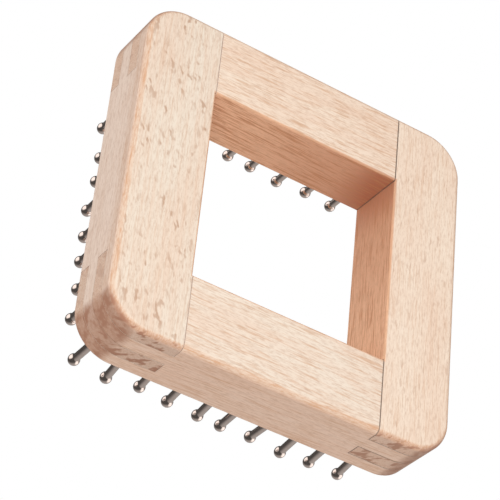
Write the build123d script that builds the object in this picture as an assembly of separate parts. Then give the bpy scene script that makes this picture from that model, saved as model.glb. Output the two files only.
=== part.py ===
from build123d import *
import os
from math import sqrt

# Square knitting loom. Four beech bars are finger-jointed into a flat frame round a square
# opening, and ball-ended steel pegs stand in blind holes along the outer part of one face.
# Frame of the model: the plain face rests on z = 0, the pegs point up (+Z), the stiles run
# along Y and the rails along X. The origin is the centre of the plain face.

# ---- driving dimensions, millimetres
FRAME_SIDE = 112.2
BAR_WIDTH = 24.1
FRAME_THICKNESS = 20.0
CORNER_RADIUS = 12.5
FINGER_LAYERS = 4
PLAIN_FACE_ROUNDOVER = 1.9
PEG_FACE_ROUNDOVER = 0.6
OPENING_PLAIN_ROUNDOVER = 0.7
OPENING_PEG_ROUNDOVER = 0.3

JOINT_LINE_WIDTH = 0.16
JOINT_LINE_DEPTH = 0.4

PEG_PITCH = 10.0
PEG_ROW_INSET = 9.1
PEGS_PER_LONG_ROW = 10
PEGS_PER_SHORT_ROW = 8
BALL_DIAMETER = 3.6
SHAFT_DIAMETER = 2.4
NECK_RADIUS = 0.8
BALL_HEIGHT = 20.0
SHANK_DEPTH = 12.0
TIP_CHAMFER = 0.4
DRILL_POINT = 0.5
HOLE_MOUTH = 0.3
SLACK = 0.01

# How far each hole sits off its pitch mark, as (x, y): the holes were drilled by eye.
# Rows are listed from low to high x, and columns from low to high y.
BACK_DRIFT = [(0.1, -1.8), (-1.3, -1.3), (-0.2, -2.6), (-0.5, -1.4), (-0.5, -1.0),
              (-2.0, -0.4), (-0.7, -0.3), (-1.8, -0.2), (-1.7, -0.8), (-2.2, -1.1)]
FRONT_DRIFT = [(2.0, -0.3), (0.0, 0.1), (0.4, -0.2), (-0.2, 0.6), (1.0, -0.4),
               (-0.7, -0.2), (-0.7, 0.7), (0.2, -0.3), (-0.2, 0.5), (2.4, -0.6)]
LEFT_DRIFT = [(-0.4, -0.9), (0.3, 0.1), (0.2, -1.0), (-1.1, 0.2),
              (-0.7, -0.5), (-0.6, -1.7), (-0.1, -2.3), (-0.5, -2.0)]
RIGHT_DRIFT = [(1.3, 0.4), (0.9, -0.3), (1.4, 0.2), (1.0, -0.6),
               (0.9, 0.3), (1.2, 0.5), (1.0, -0.4), (1.3, 0.2)]

# How far each ball of the back row stands off its hole: these pegs lean. The others are upright.
BACK_LEAN = [(0.2, 0.1), (2.1, 1.2), (1.8, 1.0), (1.5, 0.8), (1.7, 0.9),
             (1.0, 0.5), (0.0, 0.0), (1.6, 0.9), (1.6, 0.9), (2.3, 1.3)]

# ---- sizes that follow
HALF_SIDE = FRAME_SIDE / 2
HALF_OPENING = HALF_SIDE - BAR_WIDTH
LAYER = FRAME_THICKNESS / FINGER_LAYERS
PEG_LINE = HALF_SIDE - PEG_ROW_INSET
STILE_LAYERS = range(0, FINGER_LAYERS, 2)
RAIL_LAYERS = range(1, FINGER_LAYERS, 2)


def block(x, y, z):
    """A box between two corners, given as (low, high) along each axis."""
    size = [high - low for low, high in (x, y, z)]
    centre = [(low + high) / 2 for low, high in (x, y, z)]
    return Pos(*centre) * Box(*size)


def frame_blank(shrink=0.0):
    """The whole frame as one rounded ring, or its core, smaller by shrink on every face."""
    side = FRAME_SIDE - 2 * shrink
    opening = 2 * (HALF_OPENING + shrink)
    outline = RectangleRounded(side, side, CORNER_RADIUS - shrink) - Rectangle(opening, opening)
    ring = Pos(0, 0, shrink) * extrude(outline, FRAME_THICKNESS - 2 * shrink)
    low, high = shrink, FRAME_THICKNESS - shrink

    def rim(z, inner):
        """The edges of one face that run round the opening, or round the outside."""
        edges = ring.edges().filter_by_position(Axis.Z, z - SLACK, z + SLACK)
        middle_of_bar = HALF_OPENING + BAR_WIDTH / 2

        def reach(edge):
            return max(abs(edge.center().X), abs(edge.center().Y))

        return edges.filter_by(lambda edge: (reach(edge) < middle_of_bar) == inner)

    for z, radius, inner in (
        (low, PLAIN_FACE_ROUNDOVER, False),
        (high, PEG_FACE_ROUNDOVER, False),
        (low, OPENING_PLAIN_ROUNDOVER, True),
        (high, OPENING_PEG_ROUNDOVER, True),
    ):
        ring = fillet(rim(z, inner), max(radius - shrink, radius / 4))
    return ring


def joint_lines():
    """Thin sheets along every glued face, cut back to the skin: they leave hairline grooves."""
    half = JOINT_LINE_WIDTH / 2
    corner = (HALF_OPENING - half, HALF_SIDE)
    sheets = []
    for sx in (-1, 1):
        for sy in (-1, 1):
            corner_x = tuple(sorted(sx * v for v in corner))
            corner_y = tuple(sorted(sy * v for v in corner))
            line_x = (sx * HALF_OPENING - half, sx * HALF_OPENING + half)
            line_y = (sy * HALF_OPENING - half, sy * HALF_OPENING + half)
            for layer in range(FINGER_LAYERS):
                depth = (layer * LAYER, (layer + 1) * LAYER)
                if layer in STILE_LAYERS:
                    sheets.append(block(line_x, corner_y, depth))
                else:
                    sheets.append(block(corner_x, line_y, depth))
            for layer in range(1, FINGER_LAYERS):
                height = (layer * LAYER - half, layer * LAYER + half)
                sheets.append(block(corner_x, corner_y, height))
    grooves = sheets[0]
    for sheet in sheets[1:]:
        grooves = grooves + sheet
    return grooves - frame_blank(JOINT_LINE_DEPTH)


def bar_region(along_y, side, layers):
    """The space one bar takes: its straight middle, and a finger at each end in its layers."""
    across = tuple(sorted((side * HALF_OPENING, side * HALF_SIDE)))
    thickness = (0, FRAME_THICKNESS)
    middle = (-HALF_OPENING, HALF_OPENING)
    whole = (-HALF_SIDE, HALF_SIDE)
    region = block(across, middle, thickness) if along_y else block(middle, across, thickness)
    for layer in layers:
        depth = (layer * LAYER, (layer + 1) * LAYER)
        region += block(across, whole, depth) if along_y else block(whole, across, depth)
    return region


def row_marks(count, pitch):
    """Even marks along a row, centred on the middle of the frame."""
    return [(i - (count - 1) / 2) * pitch for i in range(count)]


def peg_places():
    """Each peg's name and its place: the mouth of its hole, with Z along the peg."""
    long_row = row_marks(PEGS_PER_LONG_ROW, PEG_PITCH)
    short_row = row_marks(PEGS_PER_SHORT_ROW, PEG_PITCH)
    upright = [(0.0, 0.0)] * PEGS_PER_LONG_ROW
    rows = {
        "back": ([(mark, PEG_LINE) for mark in long_row], BACK_DRIFT, BACK_LEAN),
        "front": ([(mark, -PEG_LINE) for mark in long_row], FRONT_DRIFT, upright),
        "left": ([(-PEG_LINE, mark) for mark in short_row], LEFT_DRIFT, upright),
        "right": ([(PEG_LINE, mark) for mark in short_row], RIGHT_DRIFT, upright),
    }
    places = {}
    for row, (marks, drifts, leans) in rows.items():
        for number, (mark, drift, lean) in enumerate(zip(marks, drifts, leans), start=1):
            mouth = (mark[0] + drift[0], mark[1] + drift[1], FRAME_THICKNESS)
            along = (lean[0], lean[1], BALL_HEIGHT)
            places[f"peg_{row}_{number:02d}"] = Plane(mouth, x_dir=(1, 0, 0), z_dir=along).location
    return places


def peg():
    """One turned steel peg on the Z axis, with the face of the wood at z = 0."""
    ball = BALL_DIAMETER / 2
    shaft = SHAFT_DIAMETER / 2
    # The neck is an arc that touches both the ball and the side of the shaft.
    neck_centre = Vector(shaft + NECK_RADIUS, 0)
    ball_centre = Vector(0, sqrt((ball + NECK_RADIUS) ** 2 - neck_centre.X**2))
    to_ball = (ball_centre - neck_centre).normalized()
    halfway = (to_ball + Vector(-1, 0)).normalized()
    lift = Vector(0, BALL_HEIGHT) - ball_centre
    ball_meets_neck = lift + neck_centre + to_ball * NECK_RADIUS
    middle_of_neck = lift + neck_centre + halfway * NECK_RADIUS
    neck_meets_shaft = lift + Vector(shaft, 0)
    top = Vector(0, BALL_HEIGHT + ball)
    outline = [
        ThreePointArc(top, Vector(ball, BALL_HEIGHT), ball_meets_neck),
        ThreePointArc(ball_meets_neck, middle_of_neck, neck_meets_shaft),
        Polyline(
            neck_meets_shaft,
            Vector(shaft, TIP_CHAMFER - SHANK_DEPTH),
            Vector(shaft - TIP_CHAMFER, -SHANK_DEPTH),
            Vector(0, -SHANK_DEPTH),
            top,
        ),
    ]
    half_section = Plane.XZ * make_face(outline)
    return revolve(half_section, Axis.Z)


def peg_hole():
    """The blind drilled hole that a peg is pressed into, with the drill's pointed bottom."""
    radius = SHAFT_DIAMETER / 2
    bore = Pos(0, 0, (HOLE_MOUTH - SHANK_DEPTH) / 2) * Cylinder(radius, SHANK_DEPTH + HOLE_MOUTH)
    point = Pos(0, 0, -SHANK_DEPTH - DRILL_POINT / 2) * Cone(0, radius, DRILL_POINT)
    return bore + point


def main():
    os.makedirs("parts", exist_ok=True)
    places = peg_places()
    blank = frame_blank()
    grooves = joint_lines()
    bars = {
        "left_stile": bar_region(True, -1, STILE_LAYERS),
        "right_stile": bar_region(True, 1, STILE_LAYERS),
        "front_rail": bar_region(False, -1, RAIL_LAYERS),
        "back_rail": bar_region(False, 1, RAIL_LAYERS),
    }
    hole = peg_hole()
    for name, region in bars.items():
        bar = (blank & region) - grooves
        for place in places.values():
            bar = bar - place * hole
        export_step(bar, f"parts/{name}.step")
    pin = peg()
    for name, place in places.items():
        export_step(place * pin, f"parts/{name}.step")


main()
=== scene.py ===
# %% [markdown]
# # A square knitting loom
# Four bars of beech are finger-jointed round a square opening. Thirty-six steel pegs with ball
# ends stand in one face. A knitter winds yarn round the pegs, lifts each loop over its ball with
# a hook, and the finished tube drops through the opening.
#
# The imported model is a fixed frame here: every size and place below is read from it. It lies
# with its plain face down and its pegs up.

# %% Load the frame
from math import asin, cos, pi, radians, sin

import bmesh
import bpy
from mathutils import Euler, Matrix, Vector


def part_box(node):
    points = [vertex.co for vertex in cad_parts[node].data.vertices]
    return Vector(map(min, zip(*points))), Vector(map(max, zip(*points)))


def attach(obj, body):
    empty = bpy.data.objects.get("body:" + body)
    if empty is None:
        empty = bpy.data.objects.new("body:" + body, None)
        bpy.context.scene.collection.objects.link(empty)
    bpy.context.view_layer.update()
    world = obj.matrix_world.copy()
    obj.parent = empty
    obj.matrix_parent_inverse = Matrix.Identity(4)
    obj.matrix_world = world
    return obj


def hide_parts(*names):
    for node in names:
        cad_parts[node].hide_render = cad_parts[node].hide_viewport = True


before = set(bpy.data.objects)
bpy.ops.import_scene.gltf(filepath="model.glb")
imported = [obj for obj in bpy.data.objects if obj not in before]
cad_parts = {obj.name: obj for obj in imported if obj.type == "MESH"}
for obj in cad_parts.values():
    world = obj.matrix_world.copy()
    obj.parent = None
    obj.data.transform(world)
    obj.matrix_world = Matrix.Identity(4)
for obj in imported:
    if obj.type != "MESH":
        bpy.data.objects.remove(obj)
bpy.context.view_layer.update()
MM = 0.001

# %% [markdown]
# ## What the frame measures
# The bars and the pegs are told apart by their names. The bars' boxes give the side of the
# frame, the width of a bar and the thickness of the wood, so nothing below depends on a typed
# size.

# %% Measure the frame
BARS = ["left_stile", "right_stile", "front_rail", "back_rail"]
PEGS = sorted(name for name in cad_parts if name.startswith("peg_"))
stile_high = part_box("left_stile")[1]
half_side = stile_high.y
half_opening = -stile_high.x
wood_top = stile_high.z
FINGER_LAYERS = 4
layer = wood_top / FINGER_LAYERS
print(f"side {2 * half_side:.4f} m, opening {2 * half_opening:.4f} m, wood {wood_top:.4f} m thick,",
      f"{len(PEGS)} pegs")

# %% [markdown]
# ## Camera
# The loom is looked at from below and from one corner, turned so that the pegs point down and to
# the left. A camera is easiest to follow as an orbit: a point to aim at, an azimuth and an
# elevation round it, a distance, and a roll about the line of sight. A long lens keeps the bars
# nearly parallel.

# %% Place the camera
AIM = Vector((-6.2, 3.0, 15.85)) * MM
AZIMUTH = radians(-145.05)
ELEVATION = radians(-45.18)
ROLL = radians(-129.18)
DISTANCE = 0.6255
LENS = 155.9

camera_data = bpy.data.cameras.new("camera")
camera_data.lens = LENS
camera_data.sensor_width = 36
camera_data.clip_start = 0.01
camera_data.clip_end = 50
camera = bpy.data.objects.new("camera", camera_data)
bpy.context.scene.collection.objects.link(camera)
back = Vector((sin(AZIMUTH) * cos(ELEVATION), -cos(AZIMUTH) * cos(ELEVATION), sin(ELEVATION)))
camera.location = AIM + back * DISTANCE
unrolled = (-back).to_track_quat("-Z", "Y")
camera.rotation_mode = "QUATERNION"
camera.rotation_quaternion = unrolled @ Euler((0, 0, ROLL)).to_quaternion()
bpy.context.scene.camera = camera
print("camera at", tuple(round(v, 3) for v in camera.location))

# %% [markdown]
# ## Helpers for node trees
# Every finish is a small tree of nodes. A few helpers keep the trees readable: one adds a node and
# sets its inputs, each to a value or to another node's output. Others make a Math node, a soft
# step or a mix of two colours in a single call, and the last three start a group, place a group
# and start a material.

# %% Node helpers
def add(tree, kind, inputs=None, **settings):
    """Adds a node, applies its settings, and sets or links its inputs by name or number."""
    node = tree.nodes.new(kind)
    for key, value in settings.items():
        setattr(node, key, value)
    for key, value in (inputs or {}).items():
        if isinstance(value, bpy.types.NodeSocket):
            tree.links.new(value, node.inputs[key])
        else:
            node.inputs[key].default_value = value
    return node


def math(tree, operation, *values, clamp=False):
    """A Math node; returns its output."""
    node = add(tree, "ShaderNodeMath", dict(enumerate(values)), operation=operation)
    node.use_clamp = clamp
    return node.outputs[0]


def smooth_step(tree, value, low, high):
    """0 below low, 1 above high, with a soft rise between them."""
    node = add(tree, "ShaderNodeMapRange", {"Value": value, "From Min": low, "From Max": high},
               interpolation_type="SMOOTHSTEP")
    return node.outputs["Result"]


def mix_colour(tree, factor, first, second, blend="MIX"):
    """Mixes two colours; returns the result."""
    node = add(tree, "ShaderNodeMix", data_type="RGBA", blend_type=blend)
    for number, value in ((0, factor), (6, first), (7, second)):
        if isinstance(value, bpy.types.NodeSocket):
            tree.links.new(value, node.inputs[number])
        else:
            node.inputs[number].default_value = value
    return node.outputs[2]


def new_group(name, inputs, outputs):
    """An empty shader node group with named sockets; returns it with its two end nodes."""
    group = bpy.data.node_groups.new(name, "ShaderNodeTree")
    kinds = {"value": "NodeSocketFloat", "vector": "NodeSocketVector", "colour": "NodeSocketColor"}
    for label, kind, default in inputs:
        socket = group.interface.new_socket(label, in_out="INPUT", socket_type=kinds[kind])
        if default is not None:
            socket.default_value = default
    for label, kind in outputs:
        group.interface.new_socket(label, in_out="OUTPUT", socket_type=kinds[kind])
    start = group.nodes.new("NodeGroupInput")
    end = group.nodes.new("NodeGroupOutput")
    return group, start.outputs, end.inputs


def use_group(tree, group, inputs):
    """Places a group in a tree and returns its outputs."""
    node = tree.nodes.new("ShaderNodeGroup")
    node.node_tree = group
    for key, value in inputs.items():
        if isinstance(value, bpy.types.NodeSocket):
            tree.links.new(value, node.inputs[key])
        else:
            node.inputs[key].default_value = value
    return node.outputs


def new_material(name):
    """A new material; returns it with its tree and its Principled BSDF."""
    material = bpy.data.materials.new(name)
    material.use_nodes = True
    return material, material.node_tree, material.node_tree.nodes["Principled BSDF"]


print("helpers ready")

# %% [markdown]
# ## The figure of beech
# Beech shows four things, besides broad clouds of a deeper tone. Growth rings give soft darker
# bands. Long faint streaks run with the grain. Rays, which run out from the heart of the tree
# like thin ribbons, show as short brown dashes where the saw cuts across them, and as larger
# ragged flakes where it runs along them. Fine pores give short pale and dark lines. All are made
# in three dimensions, so each face of a bar shows them as a real cut would. The group's
# coordinates are in metres: X along the grain, Y out from the heart, Z round the rings.

# %% Build the figure group
figure, given, result = new_group(
    "beech_figure",
    [("Vector", "vector", None), ("Fleck Length", "value", 0.004), ("Fleck Width", "value", 0.001),
     ("Fleck Depth", "value", 0.008), ("Fleck Share", "value", 0.4),
     ("Ring Spacing", "value", 0.0026)],
    [("Rings", "value"), ("Flecks", "value"), ("Pores", "value"), ("Streaks", "value"),
     ("Clouds", "value")],
)


def stretched_noise(tree, place, per_metre, detail=2.0, roughness=0.5):
    """Noise whose marks are drawn out; per_metre counts them along each axis."""
    spread = add(tree, "ShaderNodeVectorMath", {0: place, 1: per_metre}, operation="MULTIPLY")
    return add(tree, "ShaderNodeTexNoise", {"Vector": spread.outputs[0], "Scale": 1.0,
                                           "Detail": detail, "Roughness": roughness})


cloud = stretched_noise(figure, given["Vector"], (18, 90, 90), 3.0, 0.55)
figure.links.new(cloud.outputs["Fac"], result["Clouds"])
wobble = stretched_noise(figure, given["Vector"], (25, 120, 120))
split = add(figure, "ShaderNodeSeparateXYZ", {0: given["Vector"]})
across = math(figure, "DIVIDE", split.outputs["Y"], given["Ring Spacing"])
bent = math(figure, "MULTIPLY_ADD", wobble.outputs["Fac"], 1.6, across)
figure.links.new(smooth_step(figure, math(figure, "FRACT", bent), 0.35, 0.92), result["Rings"])
streak = stretched_noise(figure, given["Vector"], (85, 2000, 2000), 3.0, 0.65)
figure.links.new(smooth_step(figure, streak.outputs["Fac"], 0.48, 0.66), result["Streaks"])
pores = stretched_noise(figure, given["Vector"], (480, 2100, 2100), 3.0, 0.7)
figure.links.new(pores.outputs["Fac"], result["Pores"])
print("rings, streaks, pores and clouds ready")

# %% [markdown]
# ## Ray flecks
# A ray is a thin ribbon, so its noise is stretched by the ribbon's three sizes and not along the
# grain alone. The ribbons stray a little from their line, and a second, broader noise gathers
# them into patches, because rays are never spread evenly.

# %% Add the flecks to the figure group
STRAY = 0.7 * MM
LEVEL_WITHOUT_FLECKS, LEVEL_DROP = 0.74, 0.30
FLECK_SOFTNESS = 0.12
PATCH_SCALE = (0.31, 0.31, 0.31)
drift = stretched_noise(figure, given["Vector"], (260, 260, 260), 1.0)
bend = add(figure, "ShaderNodeVectorMath", {0: drift.outputs["Color"], 1: (STRAY, STRAY, STRAY)},
           operation="MULTIPLY")
strayed = add(figure, "ShaderNodeVectorMath", {0: given["Vector"], 1: bend.outputs[0]},
              operation="ADD")
size = add(figure, "ShaderNodeCombineXYZ", {0: given["Fleck Length"], 1: given["Fleck Depth"],
                                           2: given["Fleck Width"]})
cells = add(figure, "ShaderNodeVectorMath", {0: strayed.outputs[0], 1: size.outputs[0]},
            operation="DIVIDE")
ribbons = stretched_noise(figure, cells.outputs[0], (1, 1, 1), 1.5, 0.6)
level = math(figure, "MULTIPLY_ADD", given["Fleck Share"], -LEVEL_DROP,
             LEVEL_WITHOUT_FLECKS)
above = math(figure, "SUBTRACT", ribbons.outputs["Fac"], level)
shape = smooth_step(figure, above, 0.0, FLECK_SOFTNESS)
groups = stretched_noise(figure, cells.outputs[0], PATCH_SCALE, 1.0)
uneven = smooth_step(figure, groups.outputs["Fac"], 0.30, 0.70)
figure.links.new(math(figure, "MULTIPLY", shape, uneven), result["Flecks"])
print("figure group has", len(figure.nodes), "nodes")

# %% [markdown]
# ## Where a bar is cut, rubbed and shaded
# Some masks depend on the shape and not on the grain. End grain, where the surface faces along
# the grain, drinks light and looks browner. A rounded rim gets painted shade, darker and warmer
# than the flats. A rounded corner has been handled most and is darkest.

# %% Build the masks of the ends, rims and corners
end_cut, given, result = new_group(
    "end_grain", [("Normal", "vector", None), ("Grain", "vector", None)], [("Mask", "value")])
facing = add(end_cut, "ShaderNodeVectorMath", {0: given["Normal"], 1: given["Grain"]},
             operation="DOT_PRODUCT")
mask = smooth_step(end_cut, math(end_cut, "ABSOLUTE", facing.outputs["Value"]), 0.30, 0.85)
end_cut.links.new(mask, result["Mask"])

rim_shade_and_wear, given, result = new_group("rim_shade_and_wear", [("Normal", "vector", None)],
                                  [("Rim", "value"), ("Corner", "value")])
facing = add(rim_shade_and_wear, "ShaderNodeSeparateXYZ", {0: given["Normal"]})
up = math(rim_shade_and_wear, "ABSOLUTE", facing.outputs["Z"])
level = math(rim_shade_and_wear, "SQRT", math(rim_shade_and_wear, "SUBTRACT", 1.0, math(rim_shade_and_wear, "MULTIPLY", up, up),
                                  clamp=True))
# Rim: the rounded rims, which are given painted shade
rim_shade_and_wear.links.new(smooth_step(rim_shade_and_wear, math(rim_shade_and_wear, "MULTIPLY", up, level), 0.10, 0.48),
                 result["Rim"])
both = math(rim_shade_and_wear, "ABSOLUTE", math(rim_shade_and_wear, "MULTIPLY", facing.outputs["X"], facing.outputs["Y"]))
rim_shade_and_wear.links.new(smooth_step(rim_shade_and_wear, both, 0.04, 0.34), result["Corner"])
print("masks of the ends, rims and corners ready")

# %% [markdown]
# ## Blotches and slanted marks
# Handled wood and end grain are never an even brown. One noise gives the blotches of handling,
# and another, drawn out through the thickness and leant over, gives the slanted marks that cross
# the end grain.

# %% Build the end figure
blocks, given, result = new_group("end_figure", [("Position", "vector", None)],
                                  [("Blotches", "value"), ("Marks", "value")])
blotch = stretched_noise(blocks, given["Position"], (300, 300, 420), 3.0, 0.6)
blocks.links.new(smooth_step(blocks, blotch.outputs["Fac"], 0.40, 0.62), result["Blotches"])
spot = add(blocks, "ShaderNodeSeparateXYZ", {0: given["Position"]})
slant = math(blocks, "MULTIPLY", spot.outputs["Z"], 0.7)
leant = add(blocks, "ShaderNodeCombineXYZ", {
    "X": math(blocks, "ADD", spot.outputs["X"], slant),
    "Y": math(blocks, "ADD", spot.outputs["Y"], slant), "Z": spot.outputs["Z"]})
mark = stretched_noise(blocks, leant.outputs[0], (360, 360, 90), 2.0, 0.6)
blocks.links.new(smooth_step(blocks, mark.outputs["Fac"], 0.50, 0.60), result["Marks"])
print("end figure ready")

# %% [markdown]
# ## Glue lines
# A little glue has soaked into the wood along every joint line. The stiles' fingers fill the
# first and third layers, the rails' fingers the second and fourth, so the lines step sideways
# from layer to layer, and three more run between the layers.

# %% Build the glue group
glue, given, result = new_group(
    "glue_lines", [("Position", "vector", None), ("Half Opening", "value", 0.032),
                   ("Layer", "value", 0.005), ("Reach", "value", 0.0003)], [("Mask", "value")])
spot = add(glue, "ShaderNodeSeparateXYZ", {0: given["Position"]})
from_x = math(glue, "SUBTRACT", math(glue, "ABSOLUTE", spot.outputs["X"]), given["Half Opening"])
from_y = math(glue, "SUBTRACT", math(glue, "ABSOLUTE", spot.outputs["Y"]), given["Half Opening"])
height = math(glue, "DIVIDE", spot.outputs["Z"], given["Layer"])
odd = math(glue, "MODULO", math(glue, "FLOOR", height), 2.0)
even = math(glue, "SUBTRACT", 1.0, odd)


def near(distance):
    """1 on a line and 0 beyond the glue's reach."""
    share = math(glue, "DIVIDE", math(glue, "ABSOLUTE", distance), given["Reach"])
    return smooth_step(glue, share, 1.0, 0.3)


def beyond(distance):
    """1 on the corner's side of a joint plane."""
    return math(glue, "GREATER_THAN", distance, math(glue, "MULTIPLY", given["Reach"], -1.0))


cross_x = math(glue, "MULTIPLY", math(glue, "MULTIPLY", near(from_x), even), beyond(from_y))
cross_y = math(glue, "MULTIPLY", math(glue, "MULTIPLY", near(from_y), odd), beyond(from_x))
SKIN = 0.3  # of a layer: no joint lies closer than this to the faces of the loom
step = math(glue, "SUBTRACT", height, math(glue, "ROUND", height))
between = math(glue, "MULTIPLY", near(math(glue, "MULTIPLY", step, given["Layer"])),
               math(glue, "MULTIPLY", beyond(from_x), beyond(from_y)))
inside = math(glue, "MULTIPLY", math(glue, "GREATER_THAN", height, SKIN),
              math(glue, "LESS_THAN", height, FINGER_LAYERS - SKIN))
between = math(glue, "MULTIPLY", between, inside)
glue.links.new(math(glue, "MAXIMUM", math(glue, "MAXIMUM", cross_x, cross_y), between),
               result["Mask"])
print("glue lines ready")

# %% [markdown]
# ## Layers of colour
# The finish of a bar is built as a painter would glaze it: first the plain wood, then one effect
# after another, each a colour that covers what lies below it where its mask says. The colours
# are named once, so that the four bars stay of one kind.

# %% Name the colours
PALE = (0.815, 0.675, 0.55, 1)
DEEP = (0.74, 0.52, 0.39, 1)
FLECK_BROWN = (0.42, 0.23, 0.135, 1)
STREAK_TAN = (0.54, 0.27, 0.125, 1)
SIDE_RED = (0.79, 0.46, 0.32, 1)
SIDE_PINK = (0.88, 0.69, 0.58, 1)
# the colour of the painted shade on the rounded rims, and of the sanding warmth low on some sides
RIM_BROWN = (0.60, 0.35, 0.215, 1)
END_BROWN = (0.38, 0.185, 0.115, 1)
WALL_RED = (0.825, 0.485, 0.30, 1)
SAW_BROWN = (0.46, 0.16, 0.065, 1)
# the dark red-brown of the painted shade in one inner corner of the opening
CORNER_SHADE_BROWN = (0.388, 0.103, 0.043, 1)
GLUE_PALE = (0.66, 0.53, 0.44, 1)
GLUE_GREY = (0.20, 0.14, 0.11, 1)


def over(tree, colour, top, mask, strength):
    """Covers a colour with another where a mask is 1, as strongly as strength says."""
    return mix_colour(tree, math(tree, "MULTIPLY", mask, strength), colour, top)


print("wood colours ready")

# %% [markdown]
# ## Plain wood, and the faces of a bar
# Plain beech runs from a pale tone to a deeper one, in broad clouds and in the bands of its
# rings. What comes on top depends on the face. An end faces along the grain, a side stands
# upright without being an end, and a wall lies at the opening. The mask of the wall goes by
# position and not by direction, so that it takes in the narrow round-over at the wall's edge.

# %% Plain wood and the masks of the faces
CLOUD_SHARE = 0.35
WALL_FADE = (half_opening + 0.9 * MM, half_opening + 0.2 * MM)


def laid_figure(tree, position, shift, turn, sizes):
    """The figure of beech, laid so that its X runs along the grain of a bar."""
    cut = add(tree, "ShaderNodeMapping", {"Vector": position, "Location": shift, "Rotation": turn})
    return use_group(tree, figure, {"Vector": cut.outputs[0], **sizes})


def plain_wood(tree, wood, pale, rings):
    """Pale wood that deepens in clouds and in the bands of its rings."""
    clouds = smooth_step(tree, wood["Clouds"], 0.35, 0.68)
    bands = math(tree, "MULTIPLY", wood["Rings"], rings)
    body = math(tree, "MULTIPLY_ADD", clouds, CLOUD_SHARE, bands, clamp=True)
    return mix_colour(tree, body, pale, DEEP)


def face_masks(tree, place, grain):
    """Masks of the upright faces, and among them the ends, the sides and the opening's walls."""
    end = use_group(tree, end_cut, {"Normal": place["Normal"], "Grain": grain})["Mask"]
    spot = add(tree, "ShaderNodeSeparateXYZ", {0: place["Object"]}).outputs
    reach = math(tree, "MAXIMUM", math(tree, "ABSOLUTE", spot["X"]),
                 math(tree, "ABSOLUTE", spot["Y"]))
    facing = add(tree, "ShaderNodeSeparateXYZ", {0: place["Normal"]}).outputs["Z"]
    upright = smooth_step(tree, math(tree, "ABSOLUTE", facing), 0.7, 0.2)
    side = math(tree, "MULTIPLY", upright, math(tree, "SUBTRACT", 1.0, end))
    return {"upright": upright, "end": end, "side": side,
            "wall": smooth_step(tree, reach, *WALL_FADE)}


print(f"the wall's colour ends {(WALL_FADE[0] - half_opening) / MM:.1f} mm into the faces")

# %% [markdown]
# ## Sawn walls, with painted shade in one corner
# The walls of the opening are only sawn, so they are redder than the sanded outside and streaked
# brown by the blade. Toward one inner corner of the opening the walls carry painted shade: they
# darken for some way round that corner, and most close to it. Depth counts for less than distance
# along the wall, so the painted shade goes through the wood almost evenly.

# %% Sawn wall, with painted shade toward one corner
# painted shade: the walls darken broadly toward this inner corner, and deeply close to it
SHADED_CORNER = (half_opening, -half_opening, 0)
DEPTH_SHARE = 0.3
BROAD_SHADE_FADE, BROAD_SHADE_SHARE = (60 * MM, 10 * MM), 0.47
DEEP_SHADE_FADE, DEEP_SHADE_SHARE = (16 * MM, 3 * MM), 0.5
SAW_MARKS = 0.9


def sawn_and_shaded_wall(tree, position, streaks, corner_shade_share):
    """Sawn wood with the blade's streaks, and painted shade toward one inner corner."""
    flattened = add(tree, "ShaderNodeVectorMath", {0: position, 1: (1, 1, DEPTH_SHARE)},
                    operation="MULTIPLY").outputs[0]
    from_shaded_corner = add(tree, "ShaderNodeVectorMath", {0: flattened, 1: SHADED_CORNER},
                   operation="DISTANCE").outputs["Value"]
    # the broad and the deep parts of the painted corner shade
    warm = smooth_step(tree, from_shaded_corner, *BROAD_SHADE_FADE)
    deep_shade = smooth_step(tree, from_shaded_corner, *DEEP_SHADE_FADE)
    corner_shade = math(tree, "MULTIPLY_ADD", deep_shade, DEEP_SHADE_SHARE,
                math(tree, "MULTIPLY", warm, BROAD_SHADE_SHARE))
    shaded_wall = over(tree, WALL_RED, CORNER_SHADE_BROWN, corner_shade, corner_shade_share)
    return over(tree, shaded_wall, SAW_BROWN, streaks, SAW_MARKS)


print("shaded corner at", tuple(round(v, 4) for v in SHADED_CORNER))

# %% [markdown]
# ## Marks of the grain, sanded sides and shaded rims
# Streaks come first, then the fine pores, and the ray flecks last. The rays show best on the two
# flat faces and hardly at all on the upright ones. The rounded rims get painted shade, darker
# and warmer, and sanding warms the low part of the sides on some bars. Both show most where the
# wood is already streaked or open-pored.

# %% Grain marks, sanded sides and shaded rims
PORE_SHARE = 0.33
UPRIGHT_LOSS = 0.7
LOW_FADE = (7 * MM, 3 * MM)
EDGE_PLAIN, EDGE_PORES, EDGE_STREAKS = 0.42, 0.4, 0.5


def grain_marks(tree, colour, wood, streaks, fine, flecks, upright):
    """Streaks, fine pores and ray flecks, the flecks weakest on upright faces."""
    colour = over(tree, colour, STREAK_TAN, wood["Streaks"], streaks)
    colour = over(tree, colour, FLECK_BROWN, fine, PORE_SHARE)
    shown = math(tree, "MULTIPLY_ADD", upright, -UPRIGHT_LOSS, 1.0)
    return over(tree, colour, FLECK_BROWN, flecks, shown)


def sanded_sides_shaded_rims(tree, colour, wood, fine, rim, low_side):
    """Painted shade on the rounded rims, and the warmth that sanding leaves low on the sides."""
    warmed = math(tree, "MAXIMUM", rim, low_side)
    edge_share = math(tree, "MULTIPLY_ADD", fine, EDGE_PORES, EDGE_PLAIN)
    edge_share = math(tree, "MULTIPLY_ADD", wood["Streaks"], EDGE_STREAKS, edge_share)
    return over(tree, colour, RIM_BROWN, warmed, edge_share)


print("sides warm below", round(LOW_FADE[0] / MM, 1), "mm")

# %% [markdown]
# ## Seams, dark ends and handled corners
# The glue lines are pale on the left of the loom, where the joints were wiped clean, and dark on
# the right, where dust has settled in them. Close to a rounded corner even a clean line is
# stained, so it turns brown there. The darkening of the end grain and of the corners goes over
# the seams.

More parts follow.
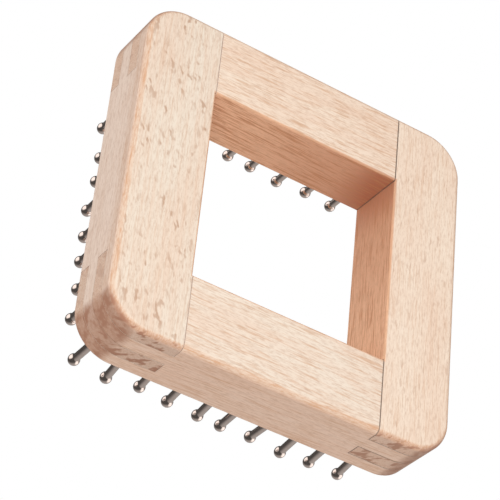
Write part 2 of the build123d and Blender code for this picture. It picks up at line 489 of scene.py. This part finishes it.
# %% Seams and dark ends
DUST_FADE = (-20 * MM, 20 * MM)
STAIN_FADE = (half_side - 13 * MM, half_side - 8 * MM)
END_PLAIN, END_MARKED = 0.35, 0.8
CORNER_PLAIN, CORNER_BLOTCHED = 0.67, 0.33


def glue_seams(tree, colour, position, glued):
    """Glue lines that are pale on the left, brown near a corner and dark on the right."""
    lines = use_group(tree, glue, {"Position": position, "Half Opening": half_opening,
                                   "Layer": layer})["Mask"]
    spot = add(tree, "ShaderNodeSeparateXYZ", {0: position}).outputs
    nearer = math(tree, "MINIMUM", math(tree, "ABSOLUTE", spot["X"]),
                  math(tree, "ABSOLUTE", spot["Y"]))
    clean = mix_colour(tree, smooth_step(tree, nearer, *STAIN_FADE), GLUE_PALE, END_BROWN)
    seam = mix_colour(tree, smooth_step(tree, spot["X"], *DUST_FADE), clean, GLUE_GREY)
    return over(tree, colour, seam, lines, glued)


def dark_ends(tree, colour, position, end, corner, ends):
    """Brown end grain with slanted marks, and corners with the blotches of handling."""
    across = use_group(tree, blocks, {"Position": position})
    marked = math(tree, "MULTIPLY_ADD", across["Marks"], END_MARKED * ends, END_PLAIN * ends)
    handled = math(tree, "MULTIPLY_ADD", across["Blotches"], CORNER_BLOTCHED, CORNER_PLAIN)
    darkened = math(tree, "MAXIMUM", math(tree, "MULTIPLY", end, marked),
                    math(tree, "MULTIPLY", corner, handled))
    return mix_colour(tree, darkened, colour, END_BROWN)


print("seams and ends ready")

# %% [markdown]
# ## Beech, bar by bar
# No two bars come from the same place in the tree, so each gets its own cut: which way the grain
# runs, how the rings lie under its face, how long and how many its flecks are, and its own tone.
# On the left stile the rays met the face at a slant to the grain, and its sides are pinker.

# %% Beech material
END_TINT = 0.35
WALL_COVER = 0.95


def beech(name, turn, grain, shift, flecks, rings, streaks, ends, glued, side=0.0, slant=0.0,
          pale=PALE, side_tone=SIDE_RED, edge=0.0, corner_shade_share=0.95):
    """One bar's wood. turn lays the figure's X along the grain, and sets how the rings lie. The
    ray flecks may lie at a slant to the grain, and the sides may warm toward the plain face. The
    last setting is the strength of the painted shade toward one inner corner of the opening."""
    material, tree, shader = new_material(name)
    place = add(tree, "ShaderNodeTexCoord").outputs
    position = place["Object"]
    length, width, depth, share, brown = flecks
    wood = laid_figure(tree, position, shift, turn, {})
    rays = laid_figure(tree, position, shift, (turn[0], turn[1], turn[2] + slant), {
        "Fleck Length": length * MM, "Fleck Width": width * MM,
        "Fleck Depth": depth * MM, "Fleck Share": share})["Flecks"]
    fine = smooth_step(tree, wood["Pores"], 0.42, 0.70)
    masks = face_masks(tree, place, grain)
    rim_shade_and_corner_wear = use_group(tree, rim_shade_and_wear, {"Normal": place["Normal"]})
    height = add(tree, "ShaderNodeSeparateXYZ", {0: position}).outputs["Z"]
    low = math(tree, "MULTIPLY", smooth_step(tree, height, *LOW_FADE), masks["side"])

    colour = plain_wood(tree, wood, pale, rings)
    colour = over(tree, colour, side_tone, masks["side"], side)
    colour = over(tree, colour, SIDE_RED, masks["end"], END_TINT)
    # the walls' colour, with painted shade toward one inner corner
    wall_colour = sawn_and_shaded_wall(tree, position, wood["Streaks"], corner_shade_share)
    colour = over(tree, colour, wall_colour, masks["wall"], WALL_COVER)
    colour = grain_marks(tree, colour, wood, streaks, fine,
                         math(tree, "MULTIPLY", rays, brown), masks["upright"])
    # painted shade on the rounded rims, and sanding warmth low on the sides
    colour = sanded_sides_shaded_rims(tree, colour, wood, fine, rim_shade_and_corner_wear["Rim"],
                          math(tree, "MULTIPLY", low, edge))
    colour = glue_seams(tree, colour, position, glued)
    colour = dark_ends(tree, colour, position, masks["end"], rim_shade_and_corner_wear["Corner"], ends)
    tree.links.new(colour, shader.inputs["Base Color"])

    rough = math(tree, "MULTIPLY_ADD", wood["Pores"], 0.2, 0.5)
    tree.links.new(rough, shader.inputs["Roughness"])
    relief = math(tree, "SUBTRACT", wood["Pores"], math(tree, "MULTIPLY", rays, 0.5))
    bump = add(tree, "ShaderNodeBump", {"Height": relief, "Strength": 0.3, "Distance": 0.0001})
    tree.links.new(bump.outputs[0], shader.inputs["Normal"])
    return material


ALONG_X = (1, 0, 0)
ALONG_Y = (0, 1, 0)
QUARTER = pi / 2
WOODS = {  # flecks: length, width and depth of a ribbon in mm, share of the face, how brown
    "left_stile": beech("beech_left", (0, radians(18), -QUARTER), ALONG_Y, (0.3, 0.1, 0.2),
                        (4.2, 0.8, 2.4, 0.62, 0.72), rings=0.15, streaks=0.25, ends=0.9,
                        glued=0.6, slant=0.45, pale=(0.76, 0.66, 0.55, 1), side=0.8,
                        side_tone=SIDE_PINK, edge=0.55),
    "right_stile": beech("beech_right", (0, QUARTER, -QUARTER), ALONG_Y, (0.7, 0.5, 0.4),
                         (3.4, 0.7, 12.0, 0.60, 0.38), rings=0.12, streaks=0.32, ends=0.8,
                         glued=0.7, corner_shade_share=0.72),
    "front_rail": beech("beech_front", (radians(70), 0, 0.04), ALONG_X, (0.1, 0.9, 0.6),
                        (6.0, 0.7, 10.0, 0.40, 0.34), rings=0.20, streaks=0.52, ends=0.25,
                        glued=0.5, side=0.3),
    "back_rail": beech("beech_back", (radians(75), 0, -0.03), ALONG_X, (0.8, 0.2, 0.9),
                       (6.0, 0.8, 10.0, 0.40, 0.36), rings=0.20, streaks=0.50, ends=0.3,
                       glued=0.3, side=0.50, pale=(0.78, 0.67, 0.56, 1), edge=0.25),
}
print("beech materials:", len(WOODS))

# %% [markdown]
# ## Bars
# The bars' shapes are right as they come from the frame: rounded corners, round-overs, fingers
# and the hairline where two bars are glued. Their meshes are loose triangles, though, so light
# would break into facets on the curves. Each bar is copied, its points are merged, and its
# normals are weighted by area, which keeps the flats flat and makes the curves smooth.

# %% Make the bars
SAME_POINT = 1e-6
SHARP_OVER = radians(30)


def smooth_copy(name):
    """A merged copy of a node's mesh with area-weighted normals, as a new piece."""
    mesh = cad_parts[name].data.copy()
    shape = bmesh.new()
    shape.from_mesh(mesh)
    bmesh.ops.remove_doubles(shape, verts=shape.verts, dist=SAME_POINT)
    for face in shape.faces:
        face.smooth = True
    for edge in shape.edges:
        if len(edge.link_faces) == 2:
            edge.smooth = edge.calc_face_angle() < SHARP_OVER
    shape.to_mesh(mesh)
    shape.free()
    source = bpy.data.objects.new(name + "_source", mesh)
    bpy.context.scene.collection.objects.link(source)
    weigh = source.modifiers.new("weigh", "WEIGHTED_NORMAL")
    weigh.mode = "FACE_AREA"
    weigh.keep_sharp = True
    graph = bpy.context.evaluated_depsgraph_get()
    finished = bpy.data.meshes.new_from_object(source.evaluated_get(graph))
    bpy.data.objects.remove(source)
    piece = bpy.data.objects.new(name + "_wood", finished)
    bpy.context.scene.collection.objects.link(piece)
    return piece


for name in BARS:
    bar = smooth_copy(name)
    bar.data.materials.clear()
    bar.data.materials.append(WOODS[name])
    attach(bar, "root")
    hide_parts(name)
    print(bar.name, len(bar.data.polygons), "faces")

# %% [markdown]
# ## Steel
# The pegs are turned and then polished until they mirror the room. The shafts keep fine turning
# lines round them, and a hand has left faint smears.

# %% Steel material
STEEL_DARK, STEEL_BRIGHT = (0.60, 0.51, 0.465, 1), (0.73, 0.635, 0.59, 1)
SMEARS_PER_METRE = 900.0
LINES_PER_METRE = (0.2, 0.2, 9000.0)


def steel():
    """Polished steel with faint smears, and turning lines on the shafts."""
    material, tree, shader = new_material("peg_steel")
    place = add(tree, "ShaderNodeTexCoord")
    smear = add(tree, "ShaderNodeTexNoise", {"Vector": place.outputs["Object"],
                                            "Scale": SMEARS_PER_METRE, "Detail": 3.0})
    rings = add(tree, "ShaderNodeMapping", {"Vector": place.outputs["Object"],
                                           "Scale": LINES_PER_METRE})
    lines = add(tree, "ShaderNodeTexNoise", {"Vector": rings.outputs[0], "Scale": 1.0,
                                            "Detail": 2.0})
    colour = mix_colour(tree, smear.outputs["Fac"], STEEL_DARK, STEEL_BRIGHT)
    tree.links.new(colour, shader.inputs["Base Color"])
    rough = math(tree, "MULTIPLY_ADD", smear.outputs["Fac"], 0.12, 0.10)
    tree.links.new(rough, shader.inputs["Roughness"])
    shader.inputs["Metallic"].default_value = 1.0
    bump = add(tree, "ShaderNodeBump", {"Height": lines.outputs["Fac"], "Strength": 0.12,
                                       "Distance": 0.00002})
    tree.links.new(bump.outputs[0], shader.inputs["Normal"])
    return material


peg_steel = steel()
print("steel ready")

# %% [markdown]
# ## The turned peg
# All thirty-six pegs are the same part off a lathe, so one outline is enough: the ball, a small
# hollow neck that runs tangent into the shaft, and a chamfered foot. Its sizes come from an
# upright peg in the frame. The outline is swept round the axis, and only the chamfer's edges
# stay sharp.

# %% Draw the outline of a peg
UPRIGHT = "peg_front_01"
peg_low, peg_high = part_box(UPRIGHT)
peg_middle = (peg_low + peg_high) / 2
ball_radius = (peg_high.x - peg_low.x) / 2
ball_height = peg_high.z - peg_low.z - ball_radius
shaft_radius = max((corner.co.xy - peg_middle.xy).length
                   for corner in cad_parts[UPRIGHT].data.vertices if corner.co.z < wood_top)
NECK_RADIUS = 0.8 * MM
TIP_CHAMFER = 0.4 * MM
BALL_STEPS = 14
NECK_STEPS = 5


def peg_outline():
    """Half the peg's section as (radius, height) points, from the top of the ball to the foot."""
    lean = asin((shaft_radius + NECK_RADIUS) / (ball_radius + NECK_RADIUS))
    neck_height = ball_height - (ball_radius + NECK_RADIUS) * cos(lean)
    points = []
    for i in range(BALL_STEPS + 1):
        angle = (pi - lean) * i / BALL_STEPS
        points.append((ball_radius * sin(angle), ball_height + ball_radius * cos(angle)))
    for i in range(1, NECK_STEPS + 1):
        angle = lean + (pi / 2 - lean) * i / NECK_STEPS
        points.append((shaft_radius + NECK_RADIUS * (1 - sin(angle)),
                       neck_height + NECK_RADIUS * cos(angle)))
    points.append((shaft_radius, TIP_CHAMFER))
    points.append((shaft_radius - TIP_CHAMFER, 0))
    points.append((0, 0))
    return points


outline = peg_outline()
print(f"ball {2 * ball_radius / MM:.2f} mm, shaft {2 * shaft_radius / MM:.2f} mm,",
      f"{len(outline)} points in the outline")

# %% [markdown]
# ## A small lathe
# Each point of the outline becomes a ring of points, or a single one on the axis, and faces join
# each ring to the next, so that the ball and the foot are closed. The normals are recalculated
# at the end, so that all faces point outwards.

# %% Turn one peg
LATHE_STEPS = 28


def lathe(name, points, sharp_from):
    """Sweeps an outline round Z into a closed mesh; rings from sharp_from on keep a sharp edge."""
    shape = bmesh.new()
    rings = []
    for radius, height in points:
        count = LATHE_STEPS if radius > 0 else 1
        rings.append([shape.verts.new((radius * cos(2 * pi * i / count),
                                       radius * sin(2 * pi * i / count), height))
                      for i in range(count)])
    for upper, lower in zip(rings, rings[1:]):
        for i in range(LATHE_STEPS):
            j = (i + 1) % LATHE_STEPS
            corners = [upper[i % len(upper)], lower[i % len(lower)],
                       lower[j % len(lower)], upper[j % len(upper)]]
            shape.faces.new(list(dict.fromkeys(corners))).smooth = True
    for ring in rings[sharp_from:-1]:
        for i in range(LATHE_STEPS):
            shape.edges.get((ring[i], ring[(i + 1) % LATHE_STEPS])).smooth = False
    bmesh.ops.recalc_face_normals(shape, faces=shape.faces)
    mesh = bpy.data.meshes.new(name)
    shape.to_mesh(mesh)
    shape.free()
    return mesh


peg_mesh = lathe("turned_peg", outline, len(outline) - 3)
peg_mesh.materials.append(peg_steel)
turned_peg = bpy.data.objects.new("turned_peg", peg_mesh)
bpy.context.scene.collection.objects.link(turned_peg)
print("turned peg has", len(peg_mesh.polygons), "faces")

# %% [markdown]
# ## Rows of pegs
# Geometry Nodes set the turned peg on one point for each hole, the way to repeat any screw or
# rivet. Some pegs lean a little, so every point carries the direction of its peg: from the
# middle of the foot to the middle of the ball, both read from the peg in the frame.

# %% Find where each peg stands and leans
BALL_DEPTH = 1.2 * ball_radius  # from the top of a ball to just below its widest ring
UPRIGHT_WITHIN = radians(1)


def middle(points):
    """The middle of the box round some points."""
    return Vector([(min(p[i] for p in points) + max(p[i] for p in points)) / 2 for i in range(3)])


def foot_and_lean(name):
    """The middle of a peg's foot, and the direction from there to the middle of its ball. The
    foot's own points are the farthest from the ball: those of its chamfer lie a little nearer."""
    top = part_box(name)[1].z
    corners = [vertex.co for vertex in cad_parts[name].data.vertices]
    ball = middle([corner for corner in corners if corner.z > top - BALL_DEPTH])
    ball.z = top - ball_radius
    farthest = ball_height - TIP_CHAMFER / 4
    foot = middle([corner for corner in corners if (corner - ball).length > farthest])
    return foot, (ball - foot).normalized()


stands = [foot_and_lean(name) for name in PEGS]
leaning = sum(along.z < cos(UPRIGHT_WITHIN) for foot, along in stands)
print("pegs that lean:", leaning)

# %% [markdown]
# ## The tree that sets the pegs
# Each real peg was pressed in by hand, so a seeded random turn about its own axis keeps the
# turning marks from lining up. The tree ends by making the copies real and giving them the
# steel, because instances are not exported.

# %% Build the peg tree
def peg_tree():
    """A Geometry Nodes tree that puts a peg on every point, along the point's own direction."""
    tree = bpy.data.node_groups.new("peg_rows", "GeometryNodeTree")
    face = tree.interface
    face.new_socket("Feet", in_out="INPUT", socket_type="NodeSocketGeometry")
    face.new_socket("Turned Peg", in_out="INPUT", socket_type="NodeSocketObject")
    face.new_socket("Steel", in_out="INPUT", socket_type="NodeSocketMaterial")
    face.new_socket("Largest Turn", in_out="INPUT", socket_type="NodeSocketFloat")
    face.new_socket("Seed", in_out="INPUT", socket_type="NodeSocketInt")
    face.new_socket("Pegs", in_out="OUTPUT", socket_type="NodeSocketGeometry")
    given = tree.nodes.new("NodeGroupInput").outputs
    result = tree.nodes.new("NodeGroupOutput").inputs
    peg = add(tree, "GeometryNodeObjectInfo", {"Object": given["Turned Peg"]})
    along = add(tree, "GeometryNodeInputNamedAttribute", {"Name": "along"},
                data_type="FLOAT_VECTOR")
    leant = add(tree, "FunctionNodeAlignRotationToVector", {"Vector": along.outputs["Attribute"]},
                axis="Z")
    turn = add(tree, "FunctionNodeRandomValue", {"Max": given["Largest Turn"],
                                                 "Seed": given["Seed"]})
    spin = add(tree, "FunctionNodeAxisAngleToRotation", {"Axis": (0, 0, 1),
                                                         "Angle": turn.outputs["Value"]})
    both = add(tree, "FunctionNodeRotateRotation", {"Rotation": leant.outputs[0],
                                                    "Rotate By": spin.outputs[0]},
               rotation_space="LOCAL")
    spread = add(tree, "GeometryNodeInstanceOnPoints", {
        "Points": given["Feet"], "Instance": peg.outputs["Geometry"],
        "Rotation": both.outputs[0]})
    real = add(tree, "GeometryNodeRealizeInstances", {"Geometry": spread.outputs[0]})
    steeled = add(tree, "GeometryNodeSetMaterial", {"Geometry": real.outputs[0],
                                                    "Material": given["Steel"]})
    tree.links.new(steeled.outputs[0], result["Pegs"])
    return tree


setting = peg_tree()
print("peg tree has", len(setting.nodes), "nodes")

# %% [markdown]
# ## From the tree to a mesh
# The tree is a modifier on a mesh of bare points, one for each foot. Its inputs are set before
# it is first evaluated, and the evaluated result is kept as a plain mesh.

# %% Set the pegs
def set_inputs(modifier, values):
    """Sets a Geometry Nodes modifier's inputs by the sockets' names."""
    for item in modifier.node_group.interface.items_tree:
        if item.in_out == "INPUT" and item.name in values:
            modifier[item.identifier] = values[item.name]


feet = bpy.data.meshes.new("feet")
feet.from_pydata([foot for foot, along in stands], [], [])
directions = feet.attributes.new("along", "FLOAT_VECTOR", "POINT")
for item, (foot, along) in zip(directions.data, stands):
    item.vector = along
rows = bpy.data.objects.new("peg_rows", feet)
bpy.context.scene.collection.objects.link(rows)
setter = rows.modifiers.new("set_pegs", "NODES")
setter.node_group = setting
set_inputs(setter, {"Turned Peg": turned_peg, "Steel": peg_steel,
                    "Largest Turn": 2 * pi, "Seed": 7})
graph = bpy.context.evaluated_depsgraph_get()
peg_rows_mesh = bpy.data.meshes.new_from_object(rows.evaluated_get(graph))
rows.modifiers.remove(setter)
bpy.data.objects.remove(rows)
bpy.data.objects.remove(turned_peg)
pegs = bpy.data.objects.new("pegs", peg_rows_mesh)
bpy.context.scene.collection.objects.link(pegs)
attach(pegs, "root")
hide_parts(*PEGS)
print("pegs:", len(PEGS), "in", len(pegs.data.polygons), "faces, materials",
      list(pegs.data.materials))

# %% [markdown]
# ## Studio
# The loom lies on a pale floor under soft light. The camera looks from below, so the floor has
# to be seen from above only: its underside lets the view through, and it neither shades the loom
# nor bounces light on it. A pale world stands in for the light that a white floor and walls
# would send back.

# %% Floor
def floor_material():
    """Matt and pale from above, clear from below."""
    material, tree, shader = new_material("pale_floor")
    shader.inputs["Base Color"].default_value = (0.86, 0.86, 0.85, 1)
    shader.inputs["Roughness"].default_value = 0.9
    side = add(tree, "ShaderNodeNewGeometry")
    clear = add(tree, "ShaderNodeBsdfTransparent")
    either = add(tree, "ShaderNodeMixShader", {0: side.outputs["Backfacing"],
                                              1: shader.outputs[0], 2: clear.outputs[0]})
    end = tree.nodes["Material Output"]
    tree.links.new(either.outputs[0], end.inputs["Surface"])
    return material


FLOOR_HALF = 3.0
FLOOR_DROP = 0.3 * MM
floor_mesh = bpy.data.meshes.new("floor")
floor_mesh.from_pydata([(sx * FLOOR_HALF, sy * FLOOR_HALF, -FLOOR_DROP)
                        for sx, sy in ((-1, -1), (1, -1), (1, 1), (-1, 1))], [], [(0, 1, 2, 3)])
floor = bpy.data.objects.new("floor", floor_mesh)
bpy.context.scene.collection.objects.link(floor)
floor.data.materials.append(floor_material())
floor.visible_shadow = False
floor.visible_diffuse = False
floor.visible_glossy = False
print("floor ready")

# %% [markdown]
# ## What the steel reflects
# Wood is lit by the whole pale room, but polished steel shows what stands round it: a dark room
# with a window of light over the camera's upper left, a weaker one low on the right, a faint one
# low behind the loom, and nothing where the camera stands. The directions are given against the
# camera's own right, up and back.

# %% World
PANELS = [  # direction as (right, up, back), where the light fades out and is full, strength
    ((-0.55, 0.76, 0.08), 0.62, 0.90, 1.55),
    ((0.70, -0.62, -0.05), 0.72, 0.94, 1.3),
    ((0.05, -0.85, -0.50), 0.20, 0.95, 0.40),
]
DARK_ROOM = 0.09
PALE_ROOM = 0.62
facing_camera = camera.rotation_quaternion.to_matrix()
world = bpy.data.worlds.new("studio")
bpy.context.scene.world = world
world.use_nodes = True
sky = world.node_tree
sky.nodes.clear()
look = add(sky, "ShaderNodeTexCoord").outputs["Generated"]
glow = DARK_ROOM
for direction, low, high, strength in PANELS:
    toward = (facing_camera @ Vector(direction)).normalized()
    match = add(sky, "ShaderNodeVectorMath", {0: look, 1: toward}, operation="DOT_PRODUCT")
    glow = math(sky, "MULTIPLY_ADD", smooth_step(sky, match.outputs["Value"], low, high),
                strength, glow)
seen = add(sky, "ShaderNodeLightPath")
room = add(sky, "ShaderNodeBackground", {"Color": (1.0, 0.985, 0.97, 1), "Strength": PALE_ROOM})
mirrored = add(sky, "ShaderNodeBackground", {"Color": (1.0, 0.96, 0.93, 1), "Strength": glow})
backdrop = add(sky, "ShaderNodeBackground", {"Color": (1, 1, 1, 1), "Strength": 1.0})
matt_or_mirror = add(sky, "ShaderNodeMixShader", {0: seen.outputs["Is Glossy Ray"],
                                                 1: room.outputs[0], 2: mirrored.outputs[0]})
either = add(sky, "ShaderNodeMixShader", {0: seen.outputs["Is Camera Ray"],
                                         1: matt_or_mirror.outputs[0], 2: backdrop.outputs[0]})
end = add(sky, "ShaderNodeOutputWorld", {"Surface": either.outputs[0]})
print("world has", len(PANELS), "panels")

# %% [markdown]
# ## Lights
# One large soft light stands below, a little to the left, and shapes the sides of the bars. The
# other stands above and lights the pegged face.

# %% Lights
def soft_light(name, place, size, power):
    """A square area light that faces the middle of the loom and is not mirrored in it."""
    data = bpy.data.lights.new(name, "AREA")
    data.size = size
    data.energy = power
    light = bpy.data.objects.new(name, data)
    bpy.context.scene.collection.objects.link(light)
    light.location = place
    light.rotation_mode = "QUATERNION"
    light.rotation_quaternion = (AIM - light.location).to_track_quat("-Z", "Y")
    light.visible_glossy = False
    return light


soft_light("key_below", (-0.43, 0.34, -0.85), 0.7, 8.6)
soft_light("key_above", (0.15, -0.3, 1.2), 0.8, 11.0)
bpy.context.scene.view_settings.view_transform = "Standard"
print("studio ready")
